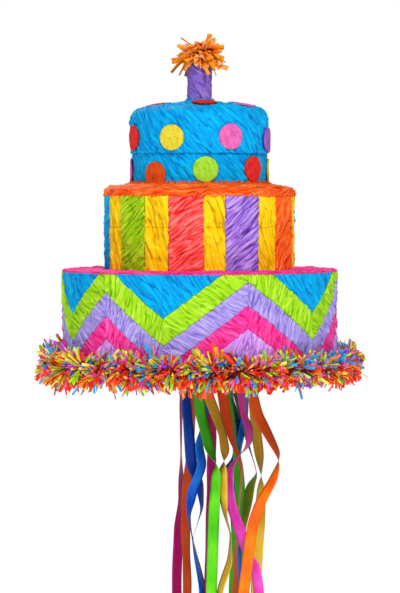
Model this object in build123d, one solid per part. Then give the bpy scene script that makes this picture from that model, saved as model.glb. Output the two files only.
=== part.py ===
from build123d import *
import math
import os

# Three-tier birthday-cake pinata with a pull-string trapdoor. Millimetres and degrees.
# The origin is on the cake's centre line at the underside of the base panel. +Z is up, the front faces -Y.
# Angles go round the cake from its front, counter-clockwise seen from above, so +90 is the right side.

CARD = 3.0                    # corrugated card
TISSUE = 1.2                  # crumpled tissue wrap
GLUE = 0.05                   # gap between glued curved layers
PAPER = 1.0                   # thick crinkled paper of the dots
TAPE = 0.2                    # paper tape

BOTTOM_RADIUS = 151.5         # outside radii, over the tissue
MIDDLE_RADIUS = 105.0
TOP_RADIUS = 74.2
TOP_BAND_RADIUS = 76.2        # the upper band of the top tier stands proud of the lower one

BOTTOM_TOP = 104.0            # heights of the tiers' top faces, over the tissue
MIDDLE_TOP = 193.0
TOP_SEAM = 232.0              # where the top tier's two bands meet
TOP_SHOULDER = 265.0          # where the domed cover starts
LID_TOP = 276.5               # top face of the card lid
DOME_RIM = 282.0              # height where the shoulder meets the dome
DOME_TOP = 289.0
DOME_SHOULDER = 11.0          # radius of the rounded shoulder

BOTTOM_HOLE = 90.0            # holes that let sweets fall from tier to tier
MIDDLE_HOLE = 56.0
LEDGE_LIP = 3.0               # how far the pink tissue hangs over the bottom tier
DRAPE_BOTTOM = 185.5          # lower edge of the orange tissue that hangs over the middle tier
DRAPE_SHOULDER = (99.0, 196.0)        # radius and height of the orange tissue's shoulder
DRAPE_RISE = 200.0            # height it climbs to against the top tier

CANDLE_RADIUS = 13.85
CANDLE_TOP = 335.0
CANDLE_WALL = 1.2
FLAME_RADIUS = 28.0
FLAME_HALF_HEIGHT = 18.0
FLAME_CENTRE = 345.0

EYE_Y = 34.0                  # the hanging eye stands behind the candle
EYE_HEIGHT = 308.0
EYE_BORE = 6.5
EYE_RADIUS = 12.0
EYE_THICK = 4.0
EYE_STEM = 9.0
EYE_FOOT_RADIUS = 9.0
ANCHOR_RADIUS = 24.0
ANCHOR_THICK = 2.0

DOT_RADIUS = 14.0
FRINGE_HALF_WIDTH = 15.0
FRINGE_HALF_HEIGHT = 20.0
FRINGE_HEIGHT = 1.0           # height of the garland's core

# Chevrons: where each valley and peak stands round the bottom tier, and its height on the lime-lilac edge.
CHEVRON_POINTS = (
    (-65.7, 28), (-41.2, 83), (-14.9, 27), (19.9, 95), (53.3, 31), (84, 94),
    (112, 30), (140, 88), (170, 29), (201, 94), (234, 28), (266, 88),
)
CHEVRON_EDGES = (29, 0, -25, -50)     # heights of the four colour edges, from the lime-lilac edge
CHEVRON_COLOURS = ("blue", "lime", "lilac", "pink", "purple")

# Stripes: where each yellow stripe and each coloured stripe starts round the middle tier.
STRIPES = (
    ("yellow", -70.7), ("green", -54.6), ("yellow", -34.7), ("red", -18.7), ("yellow", 2.4), ("purple", 15.6),
    ("yellow", 37.6), ("orange", 52.2), ("yellow", 76.0), ("blue", 91.0), ("yellow", 111.0), ("green", 126.0),
    ("yellow", 147.0), ("red", 162.0), ("yellow", 183.0), ("purple", 198.0), ("yellow", 218.0),
    ("orange", 233.0), ("yellow", 254.0), ("blue", 269.0),
)
FLAP_START = 147.0            # the fill flap covers a yellow, a red and a yellow stripe
FLAP_END = 198.0
FLAP_BOTTOM = 122.0
FLAP_TOP = 178.0
FLAP_GAP = 0.8                # clearance cut all round the flap
FLAP_TAPE_WIDTH = 10.0
TAB_WIDTH = 14.0
TAB_REACH = 9.0               # how far the pull tab laps over the wall

# Dots: colour, angle and height on the wall of the top tier, then colour, angle and radius on the cover.
WALL_DOTS = (
    ("red", -70, 249), ("yellow", -23, 249), ("pink", 26, 250), ("purple", 76, 247),
    ("orange", 114, 249), ("pink", 158, 248), ("yellow", 203, 249), ("lime", 247, 248),
    ("orange", -40, 209), ("lime", 5, 214.5), ("red", 51, 215), ("yellow", 94, 213),
    ("lime", 137, 214), ("purple", 181, 213), ("red", 224, 214), ("pink", 267, 213),
)
COVER_DOTS = (("red", 9, 34), ("pink", 76, 50), ("yellow", 130, 50), ("purple", 190, 52), ("orange", 246, 52))
DOT_COLOURS = ("red", "yellow", "pink", "purple", "orange", "lime")

# Trapdoor in the base panel. It hinges along its back edge and swings down.
DOOR_X = 24.0
DOOR_WIDTH = 76.0
DOOR_BACK = 40.0
DOOR_FRONT = -40.0
DOOR_GAP = 1.0
DOOR_TAPE_WIDTH = 14.0
SEAL_WIDTH = 22.0
SEAL_REACH = 8.0              # how far the seal tab laps over the base panel
SEAL_GRIP = 5.0               # how much of the seal tab is stuck to the trapdoor

# Staples and ribbons. Each ribbon's end is looped round the crown of its staple.
WIRE_RADIUS = 0.35
WIRE_BEND = 0.8               # bend radius between a staple's crown and legs, on the wire's centre
CROWN_WIDTH = 13.4            # between the outsides of the legs
CROWN_DROP = 1.3              # crown's centre below the card
LEG_ABOVE = 0.6               # leg ends above the card
LOOP_GAP = 0.07
RIBBON_WIDTH = 12.0
RIBBON_THICK = 0.3
LOOP_WIDTH = 10.8             # a ribbon is gathered a little where it loops round the wire
TAIL_PITCH = 0.9              # between the two tails of a folded ribbon
RELEASE_SPOT = (24.0, -32.0)
RELEASE_LENGTH = 346.0

# Ribbons: name, place of the staple, length and number of tails. The longest reaches as far below the origin
# as the flame stands above it, so the origin is also the middle of the whole hanging object.
FRONT_OUTER, FRONT_INNER, BACK_INNER, BACK_OUTER = -68.0, -54.0, 58.0, 72.0
RIBBONS = (
    ("ribbon_green_left", 0.0, FRONT_OUTER, 331, 1),
    ("ribbon_gold_centre", 16.0, FRONT_OUTER, 325, 1),
    ("ribbon_orange_right", 55.0, FRONT_OUTER, 333, 1),
    ("ribbon_blue_left", -6.0, FRONT_INNER, 337, 2),
    ("ribbon_magenta_centre", 11.0, FRONT_INNER, 341, 1),
    ("ribbon_pink_right", 47.0, FRONT_INNER, 343, 1),
    ("ribbon_orange_left", -9.0, BACK_INNER, 359, 1),
    ("ribbon_lime_centre", 37.0, BACK_INNER, 353, 1),
    ("ribbon_gold_right", 61.0, BACK_INNER, 357, 1),
    ("ribbon_magenta_left", -21.0, BACK_OUTER, 363, 1),
    ("ribbon_blue_centre", 40.0, BACK_OUTER, 361, 2),
    ("ribbon_olive_right", 59.0, BACK_OUTER, 355, 1),
)

# Derived dimensions.
BOTTOM_CARD = BOTTOM_RADIUS - TISSUE
MIDDLE_CARD = MIDDLE_RADIUS - TISSUE
TOP_CARD = TOP_RADIUS - TISSUE
BOTTOM_CARD_TOP = BOTTOM_TOP - TISSUE
MIDDLE_CARD_TOP = MIDDLE_TOP - TISSUE
LOOP_RADIUS = WIRE_RADIUS + LOOP_GAP


def spot(angle, radius):
    """Return x and y of a point at an angle from the front and a radius from the centre line."""
    turn = math.radians(angle)
    return radius * math.sin(turn), -radius * math.cos(turn)


def ring(inner, outer, low, high):
    """Return a round ring, or a disc where inner is 0."""
    body = Pos(0, 0, low) * extrude(Circle(outer), high - low)
    if inner > 0:
        body -= Pos(0, 0, low) * extrude(Circle(inner), high - low)
    return body


def ring_sector(inner, outer, low, high, start, end):
    """Return the part of a ring between two angles from the front."""
    section = Plane.XZ * Pos((inner + outer) / 2, (low + high) / 2) * Rectangle(outer - inner, high - low)
    return Rot(0, 0, start - 90) * revolve(section, Axis.Z, end - start)


def block(x0, x1, y0, y1, z0, z1):
    """Return a box between two corners."""
    centre = Pos((x0 + x1) / 2, (y0 + y1) / 2, (z0 + z1) / 2)
    return centre * Box(x1 - x0, y1 - y0, z1 - z0)


def rod_along_x(x, y, z, radius, length):
    """Return a cylinder along X, centred on a point."""
    return Pos(x, y, z) * Rot(0, 90, 0) * Cylinder(radius, length)


# Card shell

def base_panel():
    opening = block(DOOR_X - DOOR_WIDTH / 2, DOOR_X + DOOR_WIDTH / 2, DOOR_FRONT, DOOR_BACK, -CARD, 2 * CARD)
    return ring(0, BOTTOM_CARD, 0, CARD) - opening


def bottom_tier_wall():
    return ring(BOTTOM_CARD - CARD, BOTTOM_CARD, CARD, BOTTOM_CARD_TOP - CARD)


def bottom_tier_top():
    return ring(BOTTOM_HOLE, BOTTOM_CARD, BOTTOM_CARD_TOP - CARD, BOTTOM_CARD_TOP)


def middle_tier_wall():
    wall = ring(MIDDLE_CARD - CARD, MIDDLE_CARD, BOTTOM_CARD_TOP, MIDDLE_CARD_TOP - CARD)
    return wall - flap_cutter(0)


def middle_tier_top():
    return ring(MIDDLE_HOLE, MIDDLE_CARD, MIDDLE_CARD_TOP - CARD, MIDDLE_CARD_TOP)


def top_tier_wall():
    return ring(TOP_CARD - CARD, TOP_CARD, MIDDLE_CARD_TOP, LID_TOP - CARD)


def top_tier_lid():
    return ring(0, TOP_CARD, LID_TOP - CARD, LID_TOP) - stem_slot()


# Hanging eye

def stem_slot():
    """Return the slot that the eye's stem passes through, with a little clearance."""
    slack = 0.3
    half_x = EYE_THICK / 2 + slack
    half_y = EYE_STEM / 2 + slack
    return block(-half_x, half_x, EYE_Y - half_y, EYE_Y + half_y, LID_TOP - 4 * CARD, EYE_HEIGHT)


def hanging_eye():
    anchor_bottom = LID_TOP - CARD - ANCHOR_THICK
    half = EYE_THICK / 2
    half_stem = EYE_STEM / 2
    plate = rod_along_x(0, EYE_Y, EYE_HEIGHT, EYE_RADIUS, EYE_THICK)
    stem = block(-half, half, EYE_Y - half_stem, EYE_Y + half_stem, anchor_bottom, EYE_HEIGHT - EYE_BORE)
    foot = Pos(0, EYE_Y, anchor_bottom - ANCHOR_THICK) * extrude(Circle(EYE_FOOT_RADIUS), ANCHOR_THICK)
    body = plate + stem + foot
    return body - rod_along_x(0, EYE_Y, EYE_HEIGHT, EYE_BORE, 2 * EYE_THICK)


def eye_anchor_disc():
    low = LID_TOP - CARD - ANCHOR_THICK
    return Pos(0, EYE_Y, low) * extrude(Circle(ANCHOR_RADIUS), ANCHOR_THICK) - stem_slot()


# Candle

def candle_tube():
    outer = CANDLE_RADIUS - TISSUE
    return ring(outer - CANDLE_WALL, outer, LID_TOP, CANDLE_TOP)


def candle_wrap():
    return ring(CANDLE_RADIUS - TISSUE + GLUE, CANDLE_RADIUS, LID_TOP, CANDLE_TOP)


def flame_shreds():
    squash = FLAME_HALF_HEIGHT / FLAME_RADIUS
    puff = Pos(0, 0, FLAME_CENTRE) * scale(Sphere(FLAME_RADIUS), by=(1, 1, squash))
    room = ring(0, CANDLE_RADIUS + GLUE, FLAME_CENTRE - FLAME_RADIUS, CANDLE_TOP + GLUE)
    return puff - room


# Bottom tier: chevrons and ledge

def chevron_leg(start, end, upper, lower):
    """Return the piece of one colour between two chevron points; upper and lower are its edges' heights."""
    inner = BOTTOM_CARD + GLUE
    middle = (start + end) / 2
    half = BOTTOM_RADIUS * math.sin(math.radians(end - start) / 2)
    corners = ((-half, lower[0]), (half, lower[1]), (half, upper[1]), (-half, upper[0]))
    slab = extrude(Plane.XZ * make_face(Polyline(*corners, close=True)), 2 * BOTTOM_RADIUS)
    return ring_sector(inner, BOTTOM_RADIUS, 0, BOTTOM_CARD_TOP, start, end) & (Rot(0, 0, middle) * slab)


def chevron(colour):
    """Return every piece of one chevron colour round the bottom tier."""
    index = CHEVRON_COLOURS.index(colour)
    beyond = 200
    above = beyond if index == 0 else CHEVRON_EDGES[index - 1]
    below = -beyond if index == len(CHEVRON_EDGES) else CHEVRON_EDGES[index]
    pieces = []
    for number, (start, start_height) in enumerate(CHEVRON_POINTS):
        end, end_height = CHEVRON_POINTS[(number + 1) % len(CHEVRON_POINTS)]
        if end < start:
            end += 360
        upper = (start_height + above, end_height + above)
        lower = (start_height + below, end_height + below)
        pieces.append(chevron_leg(start, end, upper, lower))
    return pieces[0].fuse(*pieces[1:])


def bottom_ledge_tissue():
    inner = MIDDLE_CARD + GLUE
    lip = BOTTOM_RADIUS + GLUE
    sheet = ring(inner, lip + TISSUE, BOTTOM_CARD_TOP, BOTTOM_TOP)
    return sheet + ring(lip, lip + TISSUE, BOTTOM_TOP - LEDGE_LIP, BOTTOM_TOP)


# Middle tier: stripes, fill flap and ledge

def flap_cutter(gap):
    """Return the block that the flap is cut from, shrunk by a gap all round."""
    turn = math.degrees(gap / MIDDLE_RADIUS)
    inner = MIDDLE_CARD - 2 * CARD
    outer = MIDDLE_RADIUS + CARD
    return ring_sector(inner, outer, FLAP_BOTTOM + gap, FLAP_TOP - gap, FLAP_START + turn, FLAP_END - turn)


def stripe_pieces(colour):
    """Return the sectors of one stripe colour, from the pink ledge up to the card's top."""
    pieces = []
    for number, (name, start) in enumerate(STRIPES):
        following = STRIPES[(number + 1) % len(STRIPES)][1]
        end = following if following > start else following + 360
        if name == colour:
            piece = ring_sector(MIDDLE_CARD + GLUE, MIDDLE_RADIUS, BOTTOM_TOP, MIDDLE_CARD_TOP, start, end)
            pieces.append(piece)
    return pieces


def stripes(colour):
    pieces = stripe_pieces(colour)
    return pieces[0].fuse(*pieces[1:]) - flap_cutter(0)


def flap_tissue(colour):
    """Return the part of a stripe colour that rides on the fill flap."""
    pieces = stripe_pieces(colour)
    return pieces[0].fuse(*pieces[1:]) & flap_cutter(FLAP_GAP)


def fill_flap_panel():
    return ring(MIDDLE_CARD - CARD, MIDDLE_CARD, FLAP_BOTTOM, FLAP_TOP) & flap_cutter(FLAP_GAP)


def fill_flap_tape(moving):
    """Return one leaf of the flap's hinge tape, laid on the tissue beside the hinge line."""
    away = math.degrees(FLAP_GAP / MIDDLE_RADIUS)
    reach = math.degrees(FLAP_TAPE_WIDTH / MIDDLE_RADIUS)
    inner = MIDDLE_RADIUS + GLUE
    low = FLAP_BOTTOM + CARD
    high = FLAP_TOP - CARD
    if moving:
        return ring_sector(inner, inner + TAPE, low, high, FLAP_START + away, FLAP_START + reach)
    return ring_sector(inner, inner + TAPE, low, high, FLAP_START - reach, FLAP_START - away)


def fill_flap_pull_tab():
    grip = math.degrees(TAB_WIDTH / MIDDLE_RADIUS)
    reach = math.degrees(TAB_REACH / MIDDLE_RADIUS)
    inner = MIDDLE_RADIUS + GLUE
    middle = (FLAP_BOTTOM + FLAP_TOP) / 2
    low = middle - TAB_WIDTH / 2
    high = middle + TAB_WIDTH / 2
    return ring_sector(inner, inner + 2 * TAPE, low, high, FLAP_END - grip, FLAP_END + reach)


def middle_ledge_tissue():
    """Return the orange tissue that slopes down from the top tier and hangs over the middle tier."""
    inner = TOP_RADIUS + PAPER + 2 * GLUE
    lip = MIDDLE_RADIUS + GLUE
    outline = Polyline(
        (inner, MIDDLE_CARD_TOP), (inner, DRAPE_RISE), DRAPE_SHOULDER, (lip + TISSUE, MIDDLE_TOP - TISSUE),
        (lip + TISSUE, DRAPE_BOTTOM), (lip, DRAPE_BOTTOM), (lip, MIDDLE_CARD_TOP), close=True,
    )
    return revolve(Plane.XZ * make_face(outline), Axis.Z)


# Top tier: bands, domed cover and dots

def top_band_lower():
    return ring(TOP_CARD + GLUE, TOP_RADIUS, MIDDLE_CARD_TOP, TOP_SEAM - GLUE)


def top_band_upper():
    return ring(TOP_CARD + GLUE, TOP_BAND_RADIUS, TOP_SEAM, TOP_SHOULDER - GLUE)


def dome_outline(offset):
    """Return the cover's outer outline from lip to candle, pushed out by an offset."""
    rim = TOP_BAND_RADIUS + offset
    bend_start = (rim, DOME_RIM - DOME_SHOULDER + offset)
    bend_end = (rim - DOME_SHOULDER, DOME_RIM + offset)
    halfway = (rim / 2, (DOME_RIM + 2 * DOME_TOP) / 3 + offset)
    lip = Line((rim, TOP_SHOULDER), bend_start)
    bend = TangentArc(bend_start, bend_end, tangent=(0, 1))
    roof = ThreePointArc(bend_end, halfway, (CANDLE_RADIUS + GLUE, DOME_TOP + offset))
    return lip, bend, roof


def dome_solid(offset):
    """Return the solid under the cover's outer surface, down to the lip."""
    lip, bend, roof = dome_outline(offset)
    down = Line(roof @ 1, ((roof @ 1).X, TOP_SHOULDER))
    back = Line(down @ 1, lip @ 0)
    return revolve(Plane.XZ * make_face([lip, bend, roof, down, back]), Axis.Z)


def top_cover():
    card = ring(0, TOP_CARD + GLUE, TOP_SHOULDER - CARD, LID_TOP)
    return dome_solid(0) - card - stem_slot()


def wall_dot(angle, height):
    """Return a round paper dot lying on the wall of the top tier."""
    on_upper_band = height > TOP_SEAM
    inner = GLUE + (TOP_BAND_RADIUS if on_upper_band else TOP_RADIUS)
    low = height - DOT_RADIUS
    high = height + DOT_RADIUS
    reach = 1.1 * math.degrees(math.asin(DOT_RADIUS / inner))
    patch = ring_sector(inner, inner + PAPER, low, high, angle - reach, angle + reach)
    punch = Rot(0, 0, angle) * Pos(0, -inner, height) * Rot(90, 0, 0) * Cylinder(DOT_RADIUS, 2 * DOT_RADIUS)
    return patch & punch


def cover_dot(angle, radius):
    """Return a round paper dot lying on the domed cover."""
    x, y = spot(angle, radius)
    shell = dome_solid(PAPER + GLUE) - dome_solid(GLUE)
    return shell & (Pos(x, y, DOME_TOP) * Cylinder(DOT_RADIUS, 2 * DOT_RADIUS))


def dots(colour):
    pieces = [wall_dot(angle, height) for name, angle, height in WALL_DOTS if name == colour]
    pieces += [cover_dot(angle, radius) for name, angle, radius in COVER_DOTS if name == colour]
    return pieces[0].fuse(*pieces[1:])


# Fringe garland

def fringe_garland():
    core = BOTTOM_RADIUS + GLUE + FRINGE_HALF_WIDTH
    section = Plane.XZ * Pos(core, FRINGE_HEIGHT) * Ellipse(FRINGE_HALF_WIDTH, FRINGE_HALF_HEIGHT)
    return revolve(section, Axis.Z)


# Trapdoor

def trapdoor_panel():
    half = DOOR_WIDTH / 2 - DOOR_GAP
    return block(DOOR_X - half, DOOR_X + half, DOOR_FRONT + DOOR_GAP, DOOR_BACK - DOOR_GAP, 0, CARD)


def trapdoor_tape(moving):
    """Return one leaf of the trapdoor's hinge tape, under the card beside the hinge line."""
    half = DOOR_WIDTH / 2 - 2 * DOOR_GAP
    edges = (DOOR_GAP, DOOR_TAPE_WIDTH)
    if moving:
        edges = (-DOOR_TAPE_WIDTH, -DOOR_GAP)
    return block(DOOR_X - half, DOOR_X + half, DOOR_BACK + edges[0], DOOR_BACK + edges[1], -TAPE, 0)


def trapdoor_seal_tab():
    front = DOOR_FRONT - SEAL_REACH
    back = DOOR_FRONT + SEAL_GRIP
    return block(DOOR_X - SEAL_WIDTH / 2, DOOR_X + SEAL_WIDTH / 2, front, back, -GLUE - TAPE, -GLUE)


# Staples and ribbons

def staple(x, y):
    """Return a wire staple pushed up through a card panel, its crown hanging below."""
    leg_x = CROWN_WIDTH / 2 - WIRE_RADIUS
    top = CARD + LEG_ABOVE
    corners = ((-leg_x, 0, top), (-leg_x, 0, -CROWN_DROP), (leg_x, 0, -CROWN_DROP), (leg_x, 0, top))
    wire = FilletPolyline(*corners, radius=WIRE_BEND)
    return Pos(x, y, 0) * sweep(Pos(-leg_x, 0, top) * Circle(WIRE_RADIUS), path=wire)


def ribbon_staples():
    return Compound(children=[staple(x, y) for _, x, y, _, _ in RIBBONS])


def ribbon(x, y, length, tails):
    """Return a ribbon looped over a staple's crown; a ribbon folded in half has two tails."""
    outer = LOOP_RADIUS + RIBBON_THICK
    shoulder = -CROWN_DROP - 2 * outer
    half = RIBBON_WIDTH / 2
    half_loop = LOOP_WIDTH / 2
    body = rod_along_x(x, y, -CROWN_DROP, outer, LOOP_WIDTH)
    for tail in range(tails):
        middle = y + TAIL_PITCH * (tail - (tails - 1) / 2)
        front = middle - RIBBON_THICK / 2
        back = middle + RIBBON_THICK / 2
        body += block(x - half_loop, x + half_loop, front, back, shoulder, -CROWN_DROP)
        body += block(x - half, x + half, front, back, -length, shoulder)
    return body - rod_along_x(x, y, -CROWN_DROP, LOOP_RADIUS, 2 * LOOP_WIDTH)


def release_ribbon():
    return ribbon(RELEASE_SPOT[0], RELEASE_SPOT[1], RELEASE_LENGTH, 1)


def all_nodes():
    """Yield every node's name and shape."""
    yield "base_panel", base_panel()
    yield "bottom_tier_wall", bottom_tier_wall()
    yield "bottom_tier_top", bottom_tier_top()
    yield "middle_tier_wall", middle_tier_wall()
    yield "middle_tier_top", middle_tier_top()
    yield "top_tier_wall", top_tier_wall()
    yield "top_tier_lid", top_tier_lid()
    yield "hanging_eye", hanging_eye()
    yield "eye_anchor_disc", eye_anchor_disc()
    yield "candle_tube", candle_tube()
    yield "candle_wrap", candle_wrap()
    yield "flame_shreds", flame_shreds()
    for colour in CHEVRON_COLOURS:
        yield "chevron_" + colour, chevron(colour)
    yield "bottom_ledge_tissue", bottom_ledge_tissue()
    for colour in ("yellow", "blue", "green", "red", "purple", "orange"):
        yield "stripes_" + colour, stripes(colour)
    yield "middle_ledge_tissue", middle_ledge_tissue()
    yield "top_band_lower", top_band_lower()
    yield "top_band_upper", top_band_upper()
    yield "top_cover", top_cover()
    for colour in DOT_COLOURS:
        yield "dots_" + colour, dots(colour)
    yield "fringe_garland", fringe_garland()
    yield "fill_flap_panel", fill_flap_panel()
    yield "fill_flap_yellow", flap_tissue("yellow")
    yield "fill_flap_red", flap_tissue("red")
    yield "fill_flap_tape_fixed", fill_flap_tape(False)
    yield "fill_flap_tape_moving", fill_flap_tape(True)
    yield "fill_flap_pull_tab", fill_flap_pull_tab()
    yield "trapdoor_panel", trapdoor_panel()
    yield "trapdoor_tape_fixed", trapdoor_tape(False)
    yield "trapdoor_tape_moving", trapdoor_tape(True)
    yield "trapdoor_seal_tab", trapdoor_seal_tab()
    yield "release_staple", staple(*RELEASE_SPOT)
    yield "release_ribbon", release_ribbon()
    yield "ribbon_staples", ribbon_staples()
    for name, x, y, length, tails in RIBBONS:
        yield name, ribbon(x, y, length, tails)


os.makedirs("parts", exist_ok=True)
for name, shape in all_nodes():
    export_step(shape, "parts/" + name + ".step")
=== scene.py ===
import math

import bpy
import numpy as np
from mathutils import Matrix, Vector


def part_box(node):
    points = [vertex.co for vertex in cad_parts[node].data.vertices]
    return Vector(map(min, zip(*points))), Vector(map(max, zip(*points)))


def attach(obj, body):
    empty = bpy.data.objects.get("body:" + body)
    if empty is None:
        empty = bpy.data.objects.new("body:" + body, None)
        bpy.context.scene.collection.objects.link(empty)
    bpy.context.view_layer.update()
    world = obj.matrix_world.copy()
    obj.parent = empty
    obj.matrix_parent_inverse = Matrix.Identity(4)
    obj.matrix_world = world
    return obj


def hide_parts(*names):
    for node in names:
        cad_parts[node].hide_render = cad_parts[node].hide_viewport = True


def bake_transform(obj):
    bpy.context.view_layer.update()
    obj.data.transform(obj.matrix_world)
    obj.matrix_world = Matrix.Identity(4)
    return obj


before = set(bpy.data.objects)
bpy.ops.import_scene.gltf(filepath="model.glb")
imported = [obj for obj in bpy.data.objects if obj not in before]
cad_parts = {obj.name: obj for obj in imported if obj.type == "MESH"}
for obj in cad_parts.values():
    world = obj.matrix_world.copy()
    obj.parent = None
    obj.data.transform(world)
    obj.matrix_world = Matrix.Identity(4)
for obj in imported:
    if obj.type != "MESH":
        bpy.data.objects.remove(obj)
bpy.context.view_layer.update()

# Looks of the birthday-cake pinata. Lengths are in millimetres until a mesh is made; angles are in degrees,
# measured round the cake from its front (-Y), so +90 is its right side. s runs round a wall and t up it.

MM = 0.001
GRID = 0.85                   # spacing of a tissue surface's points
TISSUE = 1.2                  # thickness of a wrap before it is crumpled
THINNEST = 0.25               # least thickness of crumpled tissue
GLUE = 0.05
BACKING = 0.02                # between the back of a wrap and the card
TEAR = 3.4                    # length of the tears along a ledge's edge
GOLDEN = 0.618034             # golden ratio, to spread the fringe's tufts evenly


def low(node):
    """Return a CAD node's lowest corner in millimetres."""
    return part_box(node)[0] / MM


def high(node):
    """Return a CAD node's highest corner in millimetres."""
    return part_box(node)[1] / MM


# Sizes taken from the frame.
BOTTOM_RADIUS = high("chevron_lime").x
BOTTOM_TOP = high("bottom_ledge_tissue").z
MIDDLE_RADIUS = high("stripes_yellow").x
DRAPE_RISE = high("middle_ledge_tissue").z
DRAPE_BOTTOM = low("middle_ledge_tissue").z
TOP_RADIUS = high("top_band_lower").x
TOP_BAND_RADIUS = high("top_band_upper").x
TOP_SEAM = low("top_band_upper").z
TOP_SHOULDER = low("top_cover").z
DOME_TOP = high("top_cover").z
CANDLE_RADIUS = high("candle_wrap").x
CANDLE_TOP = high("candle_wrap").z
FRINGE_RADIUS = high("fringe_garland").x
CROWN_HEIGHT = low("ribbon_staples").z

LIP_EDGE = BOTTOM_TOP - 1.5   # where the pink tissue's torn lip ends
FRINGE_CORE = (BOTTOM_RADIUS + FRINGE_RADIUS) / 2 - 3          # radius and height of the garland's rope
FRINGE_MIDDLE = (low("fringe_garland").z + high("fringe_garland").z) / 2

# Pattern of the tissue, the same as the frame's pieces.
CHEVRON_POINTS = (
    (-65.7, 28), (-41.2, 83), (-14.9, 27), (19.9, 95), (53.3, 31), (84, 94),
    (112, 30), (140, 88), (170, 29), (201, 94), (234, 28), (266, 88),
)
CHEVRON_EDGES = (29, 0, -25, -50)     # heights of the colour edges from the lime-lilac edge
STRIPES = (
    ("yellow", -70.7), ("green", -54.6), ("yellow", -34.7), ("red", -18.7), ("yellow", 2.4), ("purple", 15.6),
    ("yellow", 37.6), ("orange", 52.2), ("yellow", 76.0), ("blue", 91.0), ("yellow", 111.0), ("green", 126.0),
    ("yellow", 147.0), ("red", 162.0), ("yellow", 183.0), ("purple", 198.0), ("yellow", 218.0),
    ("orange", 233.0), ("yellow", 254.0), ("blue", 269.0),
)
FLAP_START = 147.0            # the fill flap's two ends, and the clearance all round it
FLAP_END = 198.0
FLAP_GAP = 0.8
WALL_DOTS = (
    ("red", -70, 249), ("yellow", -23, 249), ("pink", 26, 250), ("purple", 76, 247),
    ("orange", 114, 249), ("pink", 158, 248), ("yellow", 203, 249), ("lime", 247, 248),
    ("orange", -40, 209), ("lime", 5, 214.5), ("red", 51, 215), ("yellow", 94, 213),
    ("lime", 137, 214), ("purple", 181, 213), ("red", 224, 214), ("pink", 267, 213),
)
COVER_DOTS = (("red", 9, 34), ("pink", 76, 50), ("yellow", 130, 50), ("purple", 190, 52), ("orange", 246, 52))
DOT_RADIUS = 14.0
DOT_DEPTH = 1.2               # how far a dot's back lies under its plane
WALL_DOT_RISE = 1.7           # height of a dot's plane over the band and over the cover
COVER_DOT_RISE = 1.5

# Ribbon tails: height, sideways place and turn about the vertical at each bend, from the staple down.
RIBBON_TAILS = {
    "ribbon_green_left": (
        ((-23, -1, 0), (-50, 1, 10), (-89, 11, 30), (-105, 19, 90), (-118, 18, 150), (-154, 16, 180),
         (-244, 13, 190)),
    ),
    "ribbon_gold_centre": (
        ((-27, 8, 10), (-50, 17, 30), (-72, 25, 45), (-92, 28, 30), (-103, 27, 90), (-116, 25, 150),
         (-134, 25, 160), (-162, 28, 108), (-182, 34, 102), (-212, 33, 112), (-244, 22, 125)),
    ),
    "ribbon_orange_right": (
        ((-20, 55, 0), (-52, 63, 15), (-74, 75, 35), (-95, 86, 60), (-106, 86, 100), (-123, 80, 140),
         (-148, 66, 165), (-171, 58, 180), (-199, 54, 180), (-247, 48, 175)),
    ),
    "ribbon_blue_left": (
        ((-28, -15, 60), (-45, -14, 25), (-80, -11, 10), (-108, -9, 20), (-128, 0, 40), (-156, 3, 78),
         (-190, -8, 85), (-241, 3, 55)),
        ((-31, 8, 60), (-52, 10, 40), (-86, -1, 45), (-108, 3, 30), (-137, -8, 30), (-162, -12, 70),
         (-193, -7, 80), (-247, 3, 60)),
    ),
    "ribbon_magenta_centre": (
        ((-25, 7, 30), (-60, 14, 55), (-80, 14, 40), (-100, 13, 35), (-137, 12, 45), (-170, 9, 66),
         (-220, 8, 74), (-247, 7, 70)),
    ),
    "ribbon_pink_right": (
        ((-22, 45, 45), (-52, 48, 50), (-69, 55, 40), (-86, 54, 60), (-98, 43, 90), (-110, 34, 120),
         (-122, 32, 140), (-154, 35, 155), (-182, 45, 160), (-202, 50, 140), (-218, 61, 150),
         (-247, 65, 165)),
    ),
    "ribbon_orange_left": (
        ((-38, -10, 62), (-61, -7, 66), (-109, -11, 45), (-154, -15, 25), (-193, -16, 30), (-250, -14, 40)),
    ),
    "ribbon_lime_centre": (
        ((-40, 32, 60), (-60, 36, 50), (-92, 40, 62), (-123, 44, 20), (-148, 46, 15), (-193, 41, 35),
         (-260, 38, 40)),
    ),
    "ribbon_gold_right": (
        ((-50, 61, 25), (-81, 64, 10), (-109, 68, 30), (-128, 70, 85), (-148, 70, 150), (-193, 68, 160),
         (-250, 64, 170)),
    ),
    "ribbon_magenta_left": (
        ((-30, -21, 76), (-110, -21, 80), (-160, -21, 60), (-193, -24, 30), (-247, -26, 20)),
    ),
    "ribbon_blue_centre": (
        ((-28, 35, 50), (-46, 36, 70), (-81, 47, 35), (-116, 41, 35), (-133, 26, 25), (-146, 24, 60),
         (-160, 32, 35), (-180, 38, 70), (-247, 39, 74)),
        ((-23, 51, 60), (-50, 53, 66), (-75, 50, 45), (-100, 44, 45), (-126, 42, 60), (-190, 44, 66),
         (-265, 48, 60)),
    ),
    "ribbon_olive_right": (
        ((-22, 50, 20), (-36, 40, 60), (-58, 46, 70), (-95, 55, 72), (-131, 66, 95), (-145, 58, 145),
         (-165, 54, 160), (-193, 47, 165), (-247, 44, 160)),
    ),
    "release_ribbon": (
        ((-23, 24, 10), (-50, 28, 20), (-83, 36, 55), (-103, 44, 66), (-120, 47, 78), (-150, 44, 84),
         (-200, 40, 76), (-250, 40, 50)),
    ),
}

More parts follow.
